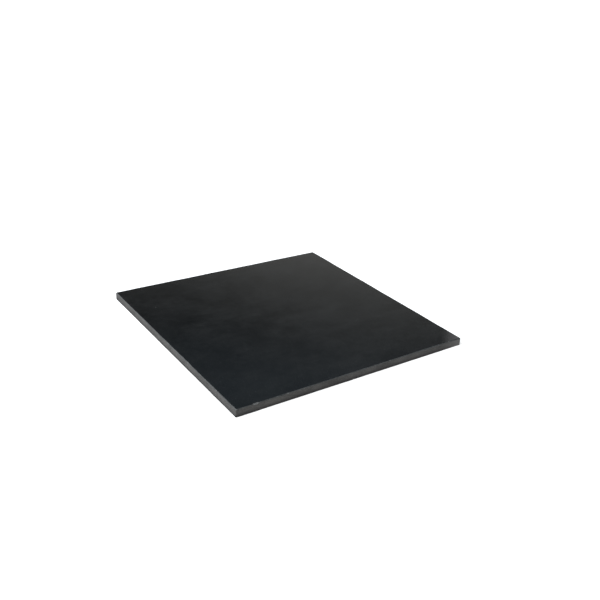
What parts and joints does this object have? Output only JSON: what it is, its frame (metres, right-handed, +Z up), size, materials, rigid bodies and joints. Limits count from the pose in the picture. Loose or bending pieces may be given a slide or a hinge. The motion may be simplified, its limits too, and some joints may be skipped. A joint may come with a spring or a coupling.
{
  "type": "granite slab",
  "caption": "Square slab of polished black granite with eased edges, a flat hard surface to lay leather on while it is stamped, punched or skived.",
  "frame": {"origin": "centre of the flat resting face, on the surface that the slab lies on", "axes": "+Z up, out of the polished face; +X along the long front side that faces -Y; +Y towards the back side"},
  "size_m": [0.3048, 0.3048, 0.0095],
  "materials": {
    "black_granite": "polished"
  },
  "bodies": {
    "root": {"granite_slab": "black_granite"}
  },
  "joints": []
}
